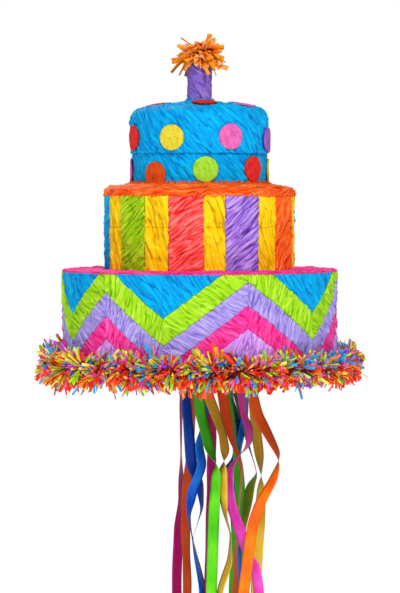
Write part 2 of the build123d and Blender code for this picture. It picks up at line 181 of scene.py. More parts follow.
# Colours as seen in even light: red, green and blue, 0 to 255.
TISSUE_COLOURS = {                    # with how strongly the folds' painted shade and painted highlights show
    "blue": ((0, 158, 230), 1.2), "lime": ((162, 222, 24), 1.2), "lilac": ((168, 150, 232), 1.1),
    "pink": ((252, 50, 154), 1.2), "orchid": ((218, 150, 250), 1.2), "purple": ((158, 110, 222), 1.6),
    "yellow": ((255, 208, 4), 1.3), "red": ((254, 64, 60), 1.6), "green": ((146, 198, 2), 1.6),
    "orange": ((255, 88, 16), 1.3), "ledge": ((246, 34, 134), 1.3), "candle": ((136, 100, 200), 1.1),
    # The rope's darkened red is painted shade between the fringe's strips.
    "shaded_bunch": ((120, 24, 14), 1.0),
}
DOT_PAINTS = {
    "red": (222, 40, 34), "yellow": (226, 206, 50), "pink": (228, 100, 178), "purple": (154, 88, 190),
    "orange": (216, 76, 20), "lime": (158, 218, 50),
}
FRINGE_COLOURS = {                    # with their shares of the strips below and above
    "fringe_red": ((255, 58, 34), 0.34, 0.10), "fringe_orange": ((255, 132, 24), 0.17, 0.13),
    "fringe_blue": ((20, 172, 250), 0.16, 0.19), "fringe_lime": ((176, 232, 30), 0.17, 0.17),
    "fringe_yellow": ((255, 228, 90), 0.07, 0.15), "fringe_pink": ((255, 96, 190), 0.07, 0.18),
    "fringe_purple": ((172, 60, 210), 0.02, 0.08),
}
SATIN_COLOURS = {
    "satin_blue": (0, 96, 214), "satin_green": (84, 208, 6), "satin_olive": (126, 150, 4),
    "satin_gold": (224, 178, 40), "satin_orange": (255, 108, 0), "satin_magenta": (226, 0, 156),
    "satin_pink": (252, 70, 206),
}
RIBBON_SLOTS = {                      # from the second word of a ribbon's name
    "green": "satin_green", "gold": "satin_gold", "orange": "satin_orange", "blue": "satin_blue",
    "magenta": "satin_magenta", "pink": "satin_pink", "lime": "satin_green", "olive": "satin_olive",
    "ribbon": "satin_orange",
}


# Noise

TURNS = np.random.default_rng(7).uniform(0, 2 * math.pi, 4096)


def noise(u, v, seed):
    """Return smooth seeded noise, about -1 to 1, at points of a plane."""
    u = np.asarray(u, float)
    v = np.asarray(v, float)
    cell_u = np.floor(u).astype(np.int64)
    cell_v = np.floor(v).astype(np.int64)
    part_u = u - cell_u
    part_v = v - cell_v
    ease_u = part_u ** 2 * (3 - 2 * part_u)
    ease_v = part_v ** 2 * (3 - 2 * part_v)

    def corner(du, dv):
        key = (cell_u + du) * 73856093 ^ (cell_v + dv) * 19349663 ^ (seed * 83492791)
        turn = TURNS[(key ^ (key >> 13)) & 4095]
        return np.cos(turn) * (part_u - du) + np.sin(turn) * (part_v - dv)

    near = corner(0, 0) * (1 - ease_u) + corner(1, 0) * ease_u
    far = corner(0, 1) * (1 - ease_u) + corner(1, 1) * ease_u
    return 1.5 * (near * (1 - ease_v) + far * ease_v)


def noise_along(s, row, seed):
    """Return noise along one row of the plane."""
    return noise(s, s * 0 + row, seed)


def smoothstep(x):
    """Return 0 to 1 with soft ends as x goes from 0 to 1."""
    x = np.clip(x, 0, 1)
    return x * x * (3 - 2 * x)


# Crumpled tissue

def crumple(s, t, direction, seed, spacing=4.6, lumps=1.1):
    """Return the height, the painted fold shade (0 painted shade in a crease, 1 painted highlight on a ridge)
    and the grain of crumpled tissue.

    Its folds run in a direction, in degrees anticlockwise from s, and overlap about every spacing.
    """
    turn = math.radians(direction)
    along = s * math.cos(turn) + t * math.sin(turn)
    across = t * math.cos(turn) - s * math.sin(turn)
    wander = 3.5 * noise(along / 30, across / 20, seed)
    across = across + wander + 0.6 * noise(along / 11, across / 9, seed + 1)

    # Overlapping folds, each rising slowly and ending in a step.
    phase = across / spacing + 0.7 * noise(along / 34, across / 9, seed + 2)
    ramp = phase - np.floor(phase)
    strength = np.clip(0.5 + 1.5 * noise(along / 30, across / 5, seed + 3), 0, 1)
    step = ramp ** 1.3 * smoothstep((1 - ramp) / 0.2) * strength
    # edge is a painted shadow line along each step.
    edge = np.exp(-(np.minimum(ramp, 1 - ramp) / 0.13) ** 2) * strength

    # Flat facets with sharp creases between them, ridges, fine crinkles and soft lumps under the tissue.
    facet = np.abs(noise(along / 42, across / (1.2 * spacing), seed + 4))
    crease = np.clip(1 - 7 * facet, 0, 1)
    ridge = np.clip(1 - 3.5 * np.abs(noise(along / 36, across / (0.8 * spacing), seed + 5)), 0, 1) ** 1.5
    fine = 1 - 2 * np.abs(noise(along / 14, across / 2.1, seed + 6))
    lump = noise(s / 30, t / 26, seed + 7) + 0.9 * noise(s / 10, t / 7, seed + 8)

    height = lumps * lump + 1.8 * step + 2.2 * facet - 0.7 * crease + 0.7 * ridge + 0.2 * fine - 2.0
    # shade is painted light: painted shade in the creases and along each step's edge, painted highlights on
    # the facets and ridges, and painted light and shade from the fine crinkles and the lumps.
    shade = 0.48 + 0.35 * facet + 0.34 * ridge + 0.25 * (step - 0.2) - 0.65 * edge - 0.5 * crease
    shade += 0.16 * fine + 0.08 * lump
    grain = np.stack([along, across, np.full_like(along, seed)], axis=-1)
    return height, np.clip(shade, 0, 1), grain


def crumple_round(angles, t, radius, direction, seed, **options):
    """Return crumple() on a full turn, with its two ends faded into each other at the back."""
    s = np.radians(angles) * radius
    length = 2 * math.pi * radius
    fade = smoothstep((angles - 150) / 30)[..., None]
    first = crumple(s, t, direction, seed, **options)
    second = crumple(s - length, t, direction, seed, **options)
    height = first[0] * (1 - fade[..., 0]) + second[0] * fade[..., 0]
    shade = first[1] * (1 - fade[..., 0]) + second[1] * fade[..., 0]
    return height, shade, first[2]


# Meshes

def mesh_object(name, points, faces, values):
    """Make an object from points in millimetres, faces and per-point values."""
    mesh = bpy.data.meshes.new(name)
    mesh.from_pydata((points * MM).tolist(), [], faces)
    for key, value in values.items():
        kind = "FLOAT" if value.ndim == 1 else "FLOAT_VECTOR"
        field = "value" if value.ndim == 1 else "vector"
        layer = mesh.attributes.new(key, kind, "POINT")
        layer.data.foreach_set(field, value.astype(np.float32).ravel())
    mesh.shade_smooth()
    piece = bpy.data.objects.new(name, mesh)
    bpy.context.scene.collection.objects.link(piece)
    return piece


def add_piece(name, mesh, body, slot, material, *nodes):
    """Make a piece with its material that rides on its body and stands for its CAD nodes. slot is not used.
    """
    piece = mesh_object(name, *mesh)
    piece.data.materials.append(material)
    if nodes:
        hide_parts(*nodes)
    if body:
        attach(piece, body)
    return piece


def band_faces(near, far, flip=False):
    """Return the quads between closed loops of point numbers and the next loops."""
    next_near = np.roll(near, -1, axis=-1)
    next_far = np.roll(far, -1, axis=-1)
    corners = (near, next_near, next_far, far) if flip else (near, far, next_far, next_near)
    return np.stack(corners, axis=-1).reshape(-1, 4).tolist()


def swept_mesh(front, back, closed, shade, grain):
    """Return points, faces and values of a solid between a front grid and its back, both columns by rows."""
    loop = np.concatenate([front, back[:, ::-1]], axis=1)
    columns, size = loop.shape[:2]
    index = np.arange(columns * size).reshape(columns, size)
    if closed:
        faces = band_faces(index, np.roll(index, -1, axis=0))
    else:
        faces = band_faces(index[:-1], index[1:])
        faces.append(index[0].tolist())
        faces.append(index[-1][::-1].tolist())
    all_shade = np.concatenate([shade, np.full((columns, back.shape[1]), 0.5)], axis=1)
    all_grain = np.concatenate([grain, back[:, ::-1]], axis=1)
    return loop.reshape(-1, 3), faces, {"fold": all_shade.ravel(), "grain": all_grain.reshape(-1, 3)}


def join_meshes(parts):
    """Return one mesh's points, faces and values from several meshes'."""
    points = []
    faces = []
    values = {}
    offset = 0
    for part_points, part_faces, part_values in parts:
        points.append(part_points)
        faces += [[corner + offset for corner in face] for face in part_faces]
        for key, value in part_values.items():
            values.setdefault(key, []).append(value)
        offset += len(part_points)
    return np.concatenate(points), faces, {key: np.concatenate(value) for key, value in values.items()}


def around(angles, radius, height):
    """Return points at angles round the cake, radii and heights."""
    turn = np.radians(angles)
    return np.stack([radius * np.sin(turn), -radius * np.cos(turn), height + 0 * turn], axis=-1)


def rolled(distance, width=1.3, least=0.45):
    """Return how far a wrap has risen at a distance from its edge, up to 1: the edge turns in to the card."""
    return 1 - (1 - least) * (1 - np.clip(distance / width, 0, 1)) ** 2


def smooth_line(corners, spacing=GRID, rounds=4):
    """Return points about spacing apart on a line that rounds its corners off, and their reach along it."""
    line = np.array(corners, float)
    for _ in range(rounds):
        before = 0.75 * line[:-1] + 0.25 * line[1:]
        after = 0.25 * line[:-1] + 0.75 * line[1:]
        inner = np.stack([before, after], axis=1).reshape(-1, 2)
        line = np.concatenate([line[:1], inner[1:-1], line[-1:]])
    reach = np.concatenate([[0], np.cumsum(np.linalg.norm(np.diff(line, axis=0), axis=1))])
    steps = np.linspace(0, reach[-1], max(3, round(reach[-1] / spacing) + 1))
    points = np.stack([np.interp(steps, reach, line[:, 0]), np.interp(steps, reach, line[:, 1])], axis=-1)
    return points, steps


def full_turn(radius):
    """Return the angles of the columns of a full ring, from the back round the front to the back."""
    count = round(2 * math.pi * radius / GRID)
    return np.linspace(-180, 180, count, endpoint=False)


# Rings of tissue: the ledges, the bands of the top tier, the cover and the candle's wrap

def ring_wrap(outline, radius, direction, seed, ragged=(0.0, 0.0), strength=1.0, **options):
    """Return the mesh of a tissue ring whose outline runs upwards; ragged is how far its two edges stray."""
    line, reach = smooth_line(outline)
    angles = full_turn(radius)
    column = angles[:, None] + 0 * reach
    t = 0 * column + reach
    height, shade, grain = crumple_round(column, t, radius, direction, seed, **options)
    height = strength * height
    tangent = np.gradient(line, axis=0)
    tangent /= np.linalg.norm(tangent, axis=1)[:, None]
    normal = np.stack([tangent[:, 1], -tangent[:, 0]], axis=-1)
    s = np.radians(angles) * radius
    length = 2 * math.pi * radius
    fade = smoothstep((angles - 165) / 15)
    torn = (1 - fade) * noise_along(s / TEAR, 3, seed + 11)
    torn += fade * noise_along((s - length) / TEAR, 3, seed + 11)
    depth = 9.0                   # how far from its edge the tissue is pulled along by a tear
    start = (ragged[0] * torn)[:, None] * smoothstep(1 - reach / depth)
    end = (ragged[1] * np.roll(torn, 40))[:, None] * smoothstep(1 - (reach[-1] - reach) / depth)
    slide = start + end

    def offset_points(rows, distance):
        r = line[rows, 0] + normal[rows, 0] * distance + slide[:, rows] * tangent[rows, 0]
        z = line[rows, 1] + normal[rows, 1] * distance + slide[:, rows] * tangent[rows, 1]
        return around(angles[:, None] + 0 * r, r, z)

    rise = rolled(reach) * rolled(reach[-1] - reach)
    lift = rise * np.maximum(TISSUE + height, THINNEST)
    front = offset_points(slice(None), lift - TISSUE)
    back_rows = np.linspace(0, len(reach) - 1, max(2, round(reach[-1] / 8))).astype(int)
    back = offset_points(back_rows, BACKING - TISSUE)
    # The shade darkens where the edges turn in to the card: painted shade.
    return swept_mesh(front, back, True, shade * (0.4 + 0.6 * rise), grain)


def bottom_ledge():
    """Make the pink tissue that covers the bottom tier's top and its rim."""
    rim = high("bottom_ledge_tissue").x
    inner = high("middle_tier_wall").x - TISSUE
    outline = ((rim - 0.2, LIP_EDGE), (rim, BOTTOM_TOP - 0.2), (rim - 0.4, BOTTOM_TOP + 1),
               (rim - 7, BOTTOM_TOP + 1.2), (inner + 2, BOTTOM_TOP + 1.2))
    mesh = ring_wrap(outline, BOTTOM_RADIUS, 3, 31, ragged=(1.4, 0), strength=0.7, spacing=3.6)
    add_piece("bottom_ledge_wrap", mesh, "shell", "tissue_pink", tissue["ledge"], "bottom_ledge_tissue")


def middle_ledge():
    """Make the orange tissue that slopes down from the top tier and drapes over the middle tier's rim."""
    rim = high("middle_ledge_tissue").x
    hem = ((rim - 0.4, DRAPE_BOTTOM), (rim, DRAPE_BOTTOM + 1.5), (rim - 0.2, DRAPE_BOTTOM + 6.8))
    slope = ((rim - 3.4, DRAPE_BOTTOM + 9.5), (rim - 12, DRAPE_RISE - 3), (TOP_RADIUS + 9, DRAPE_RISE - 1.5))
    collar = ((TOP_RADIUS + 2, DRAPE_RISE - 1), (TOP_RADIUS + 1.6, DRAPE_RISE + 1.5))
    mesh = ring_wrap(hem + slope + collar, MIDDLE_RADIUS, 8, 47, ragged=(3.4, 3.4), spacing=4.0)
    add_piece("middle_ledge_wrap", mesh, "shell", "tissue_orange", tissue["orange"], "middle_ledge_tissue")


def top_band():
    """Make the lower blue band of the top tier, from behind the orange drape up to the seam."""
    outline = ((TOP_RADIUS, DRAPE_BOTTOM + 6), (TOP_RADIUS, TOP_SEAM + 0.6))
    mesh = ring_wrap(outline, TOP_RADIUS, -48, 53, lumps=1.5)
    add_piece("top_band_lower_wrap", mesh, "shell", "tissue_blue", tissue["blue"], "top_band_lower")


def cover_outline():
    """Return the outline of the upper band and domed cover, from the seam to the candle."""
    rim = TOP_BAND_RADIUS
    rise = DOME_TOP - TOP_SHOULDER
    wall = ((rim, TOP_SEAM), (rim, TOP_SHOULDER), (rim + 0.4, TOP_SHOULDER + 0.35 * rise))
    shoulder = ((rim - 2.5, TOP_SHOULDER + 0.62 * rise), (rim - 11, TOP_SHOULDER + 0.74 * rise))
    roof = ((0.5 * rim, DOME_TOP - 1.6), (CANDLE_RADIUS + 5, DOME_TOP - 0.2))
    collar = ((CANDLE_RADIUS + 1.6, DOME_TOP + 1.5), (CANDLE_RADIUS + 0.8, DOME_TOP + 4))
    return wall + shoulder + roof + collar


def top_cover():
    """Make the upper band and the cover as the one crumpled sheet that they look like."""
    mesh = ring_wrap(cover_outline(), TOP_BAND_RADIUS, -50, 71, ragged=(0.8, 1.6), lumps=1.5)
    add_piece("top_cover_wrap", mesh, "shell", "tissue_blue", tissue["blue"], "top_cover", "top_band_upper")


def candle_wrap():
    """Make the purple tissue round the candle's tube."""
    outline = ((CANDLE_RADIUS, low("candle_wrap").z + 3), (CANDLE_RADIUS, CANDLE_TOP))
    mesh = ring_wrap(outline, CANDLE_RADIUS, -40, 83, ragged=(0, 0.8), strength=0.5, spacing=2.8)
    add_piece("candle_tissue", mesh, "shell", "tissue_purple", tissue["candle"], "candle_wrap")


# Bottom tier: chevrons

def chevron_line(angles):
    """Return the height of the lime-lilac edge at angles, and whether its leg rises to the right."""
    turns, heights = zip(*CHEVRON_POINTS)
    line = np.interp(angles, turns, heights, period=360)
    ahead = np.interp(angles + 0.2, turns, heights, period=360)
    return line, ahead > line


def distance_after_peak(angles):
    """Return the distance in millimetres to the right of the last chevron peak."""
    peaks = np.array([turn for turn, _ in CHEVRON_POINTS[1::2]])
    behind = (angles[..., None] - peaks) % 360
    return np.radians(behind.min(axis=-1)) * BOTTOM_RADIUS


def serration(s, seed):
    """Return the ragged line of a torn edge along s."""
    return 1.1 * noise_along(s / 4.2, 1.3, seed) + 0.6 * noise_along(s / 1.9, 2.4, seed)


def chevron_strip(angles, lower, upper, closed, directions, offset, seed):
    """Return the mesh of one colour between two edges.

    directions are those of the folds on rising and falling legs, and offset is how proud the colour stands.
    """
    card = BOTTOM_RADIUS - TISSUE
    s = np.radians(angles) * BOTTOM_RADIUS
    rows = max(4, round(np.max(upper - lower) / GRID) + 1)
    v = np.linspace(0, 1, rows)
    z = lower[:, None] + (upper - lower)[:, None] * v
    column = angles[:, None] + 0 * z
    _, rising = chevron_line(column)
    up = crumple_round(column, z, BOTTOM_RADIUS, directions[0], seed)
    down = crumple_round(column, z, BOTTOM_RADIUS, directions[1], seed + 20)
    height = np.where(rising, up[0], down[0])
    shade = np.where(rising, up[1], down[1])
    grain = np.where(rising[..., None], up[2], down[2])
    after = distance_after_peak(column)
    flap = np.where(rising, 0, 0.9 * np.exp(-after / 10))
    span = (upper - lower)[:, None]
    rise = rolled(np.minimum(v, 1 - v) * span)
    if not closed:
        ends = np.minimum(s - s[0], s[-1] - s)[:, None]
        rise = rise * rolled(ends + 0.3)
    lift = GLUE + rise * np.maximum(TISSUE + offset + height + flap, THINNEST)
    under_lip = smoothstep((z - LIP_EDGE + 1.5) / 2)
    front = around(column, card + lift * (1 - under_lip) + 0.6 * TISSUE * under_lip, z)
    back_z = np.stack([z[:, 0], z[:, -1]], axis=1)
    back = around(angles[:, None] + 0 * back_z, card + BACKING + 0 * back_z, back_z)
    # bright is a painted highlight along the upper edge; the shade also darkens where the edges turn in to
    # the card: painted shade.
    bright = np.exp(-((1 - v) * span) / 0.9) * 0.35
    shade = np.clip(shade - 0.45 * (1 - rise) + bright * rise, 0, 1)
    return swept_mesh(front, back, closed, shade, grain)


def chevrons():
    """Make the five colours of the bottom tier."""
    angles = full_turn(BOTTOM_RADIUS)
    line, _ = chevron_line(angles)
    s = np.radians(angles) * BOTTOM_RADIUS
    top = LIP_EDGE + 1.0
    edges = [line + edge + serration(s, 90 + number) for number, edge in enumerate(CHEVRON_EDGES)]
    edges = [np.clip(edge, 0.6, top) for edge in edges]
    looks = (("lime", (-32, 76), 1.0, 101), ("lilac", (-30, 78), 0.5, 141), ("pink", (-34, 74), 0.0, 181))
    for number, (colour, directions, offset, seed) in enumerate(looks):
        upper = np.maximum(edges[number], edges[number + 1] + 1.5)
        mesh = chevron_strip(angles, edges[number + 1], upper, True, directions, offset, seed)
        name = "chevron_" + colour
        add_piece(name + "_wrap", mesh, "shell", "tissue_" + colour, tissue[colour], name)
    triangles("blue", "blue", angles, edges[0], np.full_like(s, top), (-56, -50), 0.1, 221)
    triangles("purple", "orchid", angles, np.full_like(s, 0.3), edges[3], (64, 78), -0.2, 261)


def triangles(colour, shade, angles, lower, upper, directions, offset, seed):
    """Make one colour's separate triangles, wherever its upper edge is above its lower one."""
    present = (upper - lower) > 1.2
    starts = np.flatnonzero(present & ~np.roll(present, 1))
    parts = []
    for start in starts:
        count = np.argmin(np.roll(present, -start)) or len(angles)
        if count < 6:             # too narrow to show
            continue
        run = (start + np.arange(count)) % len(angles)
        turned = np.where(np.arange(count) + start >= len(angles), 360.0, 0.0)
        part = chevron_strip(angles[run] + turned, lower[run], upper[run], False, directions, offset, seed)
        parts.append(part)
    name = "chevron_" + colour
    add_piece(name + "_wrap", join_meshes(parts), "shell", "tissue_" + colour, tissue[shade], name)


# Middle tier: stripes

STRIPE_LOOKS = {                      # fold direction, spacing of the folds and how proud the stripe stands
    "yellow": (-72, 6.0, 0.0), "green": (38, 4.2, 0.5), "red": (31, 4.4, 0.4), "purple": (40, 5.0, 0.6),
    "orange": (48, 5.0, 0.5), "blue": (40, 4.6, 0.5),
}
WAISTS = ((152.0, 1.0), (156.0, 0.4))         # height and depth of the creases across the yellow stripes, whose painted shade deepens with the depth


def stripe_patch(colour, start, end, bottom, top, seed, straight=False):
    """Return the mesh of one stripe between two angles and two heights, with torn or straight sides."""
    card = MIDDLE_RADIUS - TISSUE
    direction, spacing, proud = STRIPE_LOOKS[colour]
    columns = round(math.radians(end - start) * MIDDLE_RADIUS / GRID) + 1
    rows = round((top - bottom) / GRID) + 1
    u = np.linspace(0, 1, columns)[:, None]
    z = np.linspace(bottom, top, rows)[None, :]
    stray = 0.0 if straight else 1.0
    left = start + stray * np.degrees(serration(z, int(start) + 400) / MIDDLE_RADIUS)
    right = end + stray * np.degrees(serration(z, int(end) % 360 + 400) / MIDDLE_RADIUS)
    angles = left + (right - left) * u
    z = z + 0 * angles
    s = np.radians(angles) * MIDDLE_RADIUS
    height, shade, grain = crumple(s, z, direction, seed, spacing=spacing)
    if colour == "yellow":
        for waist, depth in WAISTS:
            fold = depth * np.exp(-((z - waist + 0.8 * noise_along(s / 12, 1, seed)) / 1.3) ** 2)
            height = height - 1.6 * fold
            # painted shade in the waist creases
            shade = shade - 0.4 * fold
    width = math.radians(end - start) * MIDDLE_RADIUS
    rise = rolled(np.minimum(u, 1 - u) * width) * rolled(np.minimum(z - bottom, top - z) + 0.1)
    lift = GLUE + rise * np.maximum(TISSUE + proud + height, THINNEST)
    under_drape = smoothstep((z - DRAPE_BOTTOM + 1) / 2)
    lift = lift * (1 - under_drape) + 0.5 * TISSUE * under_drape
    front = around(angles, card + lift, z)
    ends = np.array([0, rows - 1])
    back = around(angles[:, ends], card + BACKING, z[:, ends])
    # painted shade where the edges turn in to the card
    shade = np.clip(shade - 0.25 * (1 - rise), 0, 1)
    return swept_mesh(front, back, False, shade, grain)


def stripes():
    """Make the middle tier's stripes, split where the fill flap is cut out, and the flap's own tissue."""
    bottom = BOTTOM_TOP + 0.2
    top = DRAPE_BOTTOM + 5
    flap_bottom = low("fill_flap_panel").z
    flap_top = high("fill_flap_panel").z
    turn = math.degrees(FLAP_GAP / MIDDLE_RADIUS)
    walls = {}
    flaps = {}
    for number, (colour, start) in enumerate(STRIPES):
        following = STRIPES[(number + 1) % len(STRIPES)][1]
        end = following if following > start else following + 360
        seed = 500 + 13 * number
        wall = walls.setdefault(colour, [])
        if FLAP_START <= start < FLAP_END:
            wall.append(stripe_patch(colour, start, end, bottom, flap_bottom - FLAP_GAP, seed))
            wall.append(stripe_patch(colour, start, end, flap_top + FLAP_GAP, top, seed))
            flap_start = start + (turn if start == FLAP_START else 0)
            flap_end = end - (turn if end == FLAP_END else 0)
            patch = stripe_patch(colour, flap_start, flap_end, flap_bottom, flap_top, seed, straight=True)
            flaps.setdefault(colour, []).append(patch)
        else:
            wall.append(stripe_patch(colour, start, end, bottom, top, seed))
    for body, prefix, groups in (("shell", "stripes_", walls), ("fill_flap", "fill_flap_", flaps)):
        for colour, parts in groups.items():
            name = prefix + colour
            add_piece(name + "_wrap", join_meshes(parts), body, "tissue_" + colour, tissue[colour], name)


# Paper dots

def dot_grid(seed):
    """Return a dot's grid in its own plane, with a slightly uneven outline, and its fine crinkle."""
    turns = np.linspace(0, 2 * math.pi, 72, endpoint=False)[:, None]
    out = np.concatenate([[0.02], np.linspace(0.1, 1, 15)])[None, :]
    reach = DOT_RADIUS * (1 + 0.012 * noise_along(turns * 2, seed, seed)) * out
    x = reach * np.cos(turns)
    y = reach * np.sin(turns)
    crinkle = 0.3 * noise(x / 2.6, y / 7, seed) + 0.4 * noise(x / 9, y / 9, seed + 1)
    wrinkle = np.clip(1 - 6 * np.abs(noise(x / 14, y / 8, seed + 2)), 0, 1)
    crinkle = crinkle - 0.25 * wrinkle
    # The shade varies at random and darkens in the wrinkles: painted shade.
    shade = np.clip(0.55 + 0.6 * noise(x / 3, y / 9, seed) - 0.3 * wrinkle, 0, 1)
    return x, y, crinkle, shade, rolled((1 - out) * DOT_RADIUS + 0.15, 1.2)


def dot_mesh(place, seed):
    """Return a dot's mesh; place turns its plane coordinates and lift into points in the frame."""
    x, y, crinkle, shade, rise = dot_grid(seed)
    front = place(x, y, 1.0 * rise + crinkle * rise)
    back = place(x[:, -1:], y[:, -1:], 0 * x[:, -1:] - DOT_DEPTH)
    centre = place(x[:, :1], y[:, :1], 0 * x[:, :1] - DOT_DEPTH)
    grain = np.stack([x, y, 0 * x + seed], axis=-1)
    points, faces, values = swept_mesh(front, np.concatenate([centre, back], axis=1), True, shade, grain)

    # The front's and the back's small middle holes are capped, and the tube that joins them is taken out.
    rings = len(points) // len(x)
    middle = {0, rings - 1}
    faces.append([column * rings for column in range(len(x))][::-1])
    faces.append([column * rings + rings - 1 for column in range(len(x))])
    faces = [face for face in faces if len(face) > 4 or {face[0] % rings, face[2] % rings} != middle]
    return points, faces, values


def dots():
    """Make the paper dots on the top tier's wall and cover."""
    groups = {}
    line, _ = smooth_line(cover_outline())
    order = np.argsort(line[:, 0])
    for number, (colour, angle, height) in enumerate(WALL_DOTS):
        radius = (TOP_BAND_RADIUS if height > TOP_SEAM else TOP_RADIUS) + WALL_DOT_RISE

        def on_wall(x, y, lift, angle=angle, height=height, radius=radius):
            return around(angle + np.degrees(x / radius), radius + lift, height + y)

        groups.setdefault(colour, []).append(dot_mesh(on_wall, 700 + number))
    for number, (colour, angle, radius) in enumerate(COVER_DOTS):
        turn = math.radians(angle)
        centre = (radius * math.sin(turn), -radius * math.cos(turn))

        def on_cover(x, y, lift, centre=centre):
            spot_x = centre[0] + x
            spot_y = centre[1] + y
            out = np.hypot(spot_x, spot_y)
            roof = np.interp(np.maximum(out, CANDLE_RADIUS + 4), line[order, 0], line[order, 1])
            return np.stack([spot_x, spot_y, roof + lift + COVER_DOT_RISE], axis=-1)

        groups.setdefault(colour, []).append(dot_mesh(on_cover, 760 + number))
    for colour, parts in groups.items():
        name = "dots_" + colour
        add_piece(name + "_paper", join_meshes(parts), "shell", "dot_" + colour, dot_paper[colour], name)


# Curled paper strips: the fringe garland and the flame

TUFTS = 660
TUFT_STRIPS = 16
CORE_POINTS = 40              # points round the rope's section
FLAKES = 200


def unit(vectors):
    return vectors / np.linalg.norm(vectors, axis=-1, keepdims=True)


def strip_mesh(roots, heads, bends, sides, lengths, widths, twists, limit):
    """Return the mesh of many thin curled strips; limit moves points that would enter what they hang on."""
    steps = np.linspace(0, 1, 7)
    count = len(roots)
    half_thick = 0.09
    t = steps[None, :, None]
    length = lengths[:, None, None]
    centre = roots[:, None] + heads[:, None] * length * t + bends[:, None] * length * t ** 2
    tangent = unit(heads[:, None] + 2 * bends[:, None] * t)
    side = unit(sides[:, None] - tangent * np.sum(sides[:, None] * tangent, axis=-1, keepdims=True))
    other = np.cross(tangent, side)
    twist = twists[:, None, None] * t
    side = side * np.cos(twist) + other * np.sin(twist)
    flat = np.cross(tangent, side) * half_thick
    width = 0.5 * widths[:, None, None] * (0.75 + 0.5 * np.sin(math.pi * np.clip(t, 0.05, 0.8)))
    cup = np.cross(tangent, side) * widths[:, None, None] * 0.14
    corners = [centre - side * width + cup - flat, centre + side * width + cup - flat,
               centre + side * width + cup + flat, centre - side * width + cup + flat]
    middle = [centre - flat, centre + flat]
    ring = np.stack([corners[0], middle[0], corners[1], corners[2], middle[1], corners[3]], axis=2)
    points = limit(ring.reshape(-1, 3))
    index = np.arange(count * len(steps) * 6).reshape(count, len(steps), 6)
    faces = band_faces(index[:, :-1], index[:, 1:], flip=True)
    faces += index[:, 0, ::-1].tolist()
    faces += index[:, -1].tolist()
    tip = np.broadcast_to(steps[None, :, None], index.shape).ravel()
    tint = np.broadcast_to(np.random.default_rng(count).random(count)[:, None, None], index.shape).ravel()
    return points, faces, {"tip": tip, "tint": tint}


def outside_wall(points):
    """Keep points of the fringe outside the bottom tier's wall."""
    r = np.hypot(points[:, 0], points[:, 1])
    wall = BOTTOM_RADIUS + 2.2
    inside = (r < wall) & (points[:, 2] > -1)
    scale = np.where(inside, (wall + 0.15 * (wall - r)) / np.maximum(r, 1), 1)
    return points * np.stack([scale, scale, np.ones_like(scale)], axis=-1)


def fringe():
    """Make the garland's hundreds of tufts of curled strips, which are tied to its rope."""
    random = np.random.default_rng(12)
    total = TUFTS * TUFT_STRIPS
    order = np.arange(TUFTS)
    tuft = np.repeat(order, TUFT_STRIPS)
    tuft_section = np.radians(-172 + 300 * (order + 0.5) / TUFTS)
    turn = np.radians(360 * (order * GOLDEN % 1) + random.normal(0, 1.0, TUFTS))[tuft]
    turn += random.normal(0, 0.006, total)
    section = tuft_section[tuft] + random.normal(0, 0.25, total)
    fan = random.normal(0, 0.6, TUFTS)[tuft] + random.normal(0, 0.26, total)
    out = np.stack([np.sin(turn), -np.cos(turn), 0 * turn], axis=-1)
    tangent = np.stack([np.cos(turn), np.sin(turn), 0 * turn], axis=-1)
    up = np.array([0.0, 0.0, 1.0])
    heads = unit(out * np.cos(section)[:, None] + up * np.sin(section)[:, None] + tangent * fan[:, None])
    roots = out * FRINGE_CORE + up * FRINGE_MIDDLE + heads * random.uniform(0.5, 3, total)[:, None]
    bends = random.normal(0, 0.2, (TUFTS, 3))[tuft] + random.normal(0, 0.16, (total, 3)) - up * 0.08
    sides = unit(random.normal(0, 1, (total, 3)) + 0.8 * tangent)
    lengths = random.uniform(9, 13.2, total) * (1 + 0.5 * np.abs(np.sin(section)) + 0.12 * np.abs(fan))
    widths = random.uniform(1.6, 3.2, total)
    twists = random.normal(0, 1.0, total)

    # A tuft has two colours of its own, mixed with any colour. The shares change from below to above.
    below = np.cumsum([share for _, share, _ in FRINGE_COLOURS.values()])
    above = np.cumsum([share for _, _, share in FRINGE_COLOURS.values()])
    upper = smoothstep(0.5 + section / 1.6)[:, None]
    bounds = below * (1 - upper) + above * upper
    layers = random.random((TUFTS, 2))[tuft, random.integers(0, 2, total)]
    draw = np.where(random.random(total) < 0.62, layers, random.random(total))
    choice = np.sum(draw[:, None] * bounds[:, -1:] > bounds[:, :-1], axis=1)
    wide = (choice == 0) & (random.random(total) < 0.3)
    widths = np.where(wide, widths * 1.9, widths)
    for number, name in enumerate(FRINGE_COLOURS):
        pick = choice == number
        mesh = strip_mesh(roots[pick], heads[pick], bends[pick], sides[pick], lengths[pick], widths[pick],
                          twists[pick], outside_wall)
        add_piece(name + "_strips", mesh, "shell", "fringe", strip_paper[name])


def fringe_core():
    """Make the garland's lumpy rope, a darkened red that shows as painted shade between the strips."""
    half_width = (FRINGE_RADIUS - BOTTOM_RADIUS) / 2 - 9
    turns = np.radians(np.linspace(0, 360, CORE_POINTS, endpoint=False))
    angles = full_turn(FRINGE_CORE)[::3]
    s = np.radians(angles)[:, None] * FRINGE_CORE
    bumps = 1 + 0.16 * noise(s / 9, turns * 4, 77)
    r = FRINGE_CORE + half_width * np.cos(turns) * bumps
    z = FRINGE_MIDDLE + (half_width + 2) * np.sin(turns) * bumps
    points = around(angles[:, None] + 0 * r, r, z).reshape(-1, 3)
    index = np.arange(len(points)).reshape(-1, CORE_POINTS)
    faces = band_faces(index, np.roll(index, -1, axis=0))
    shade = 0.4 + 0.4 * noise(s / 5, turns * 5, 78)
    mesh = (points, faces, {"fold": shade.ravel(), "grain": points})
    add_piece("fringe_core", mesh, "shell", "fringe", tissue["shaded_bunch"], "fringe_garland")


